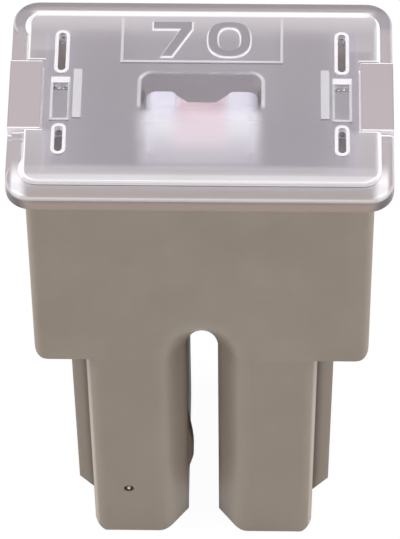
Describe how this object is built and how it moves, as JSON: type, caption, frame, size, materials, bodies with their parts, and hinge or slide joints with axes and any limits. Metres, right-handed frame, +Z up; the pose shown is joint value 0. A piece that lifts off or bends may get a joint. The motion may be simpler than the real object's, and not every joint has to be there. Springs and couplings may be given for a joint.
{
  "type": "automotive cartridge fuse",
  "caption": "Plug-in vehicle cartridge fuse: moulded housing with hollow legs, clear clip-on cover and a folded fuse element whose female contacts take blade tabs.",
  "frame": {"origin": "middle of the foot ends, on the surface that the fuse stands on", "axes": "+X across the legs, +Y from the front face to the back face, +Z up from the feet to the cover"},
  "size_m": [0.0204, 0.0136, 0.0333],
  "materials": {
    "housing_plastic": "fine satin moulding, tan",
    "cover_clear": "clear, hazed top with polished edges",
    "plated_strip": "tin plate with a bare copper middle",
    "spring_steel": "plain stainless strip"
  },
  "bodies": {
    "root": {"housing": "housing_plastic", "cover": "cover_clear", "fuse_element": "plated_strip", "spring_clip_left": "spring_steel", "spring_clip_right": "spring_steel"}
  },
  "joints": []
}
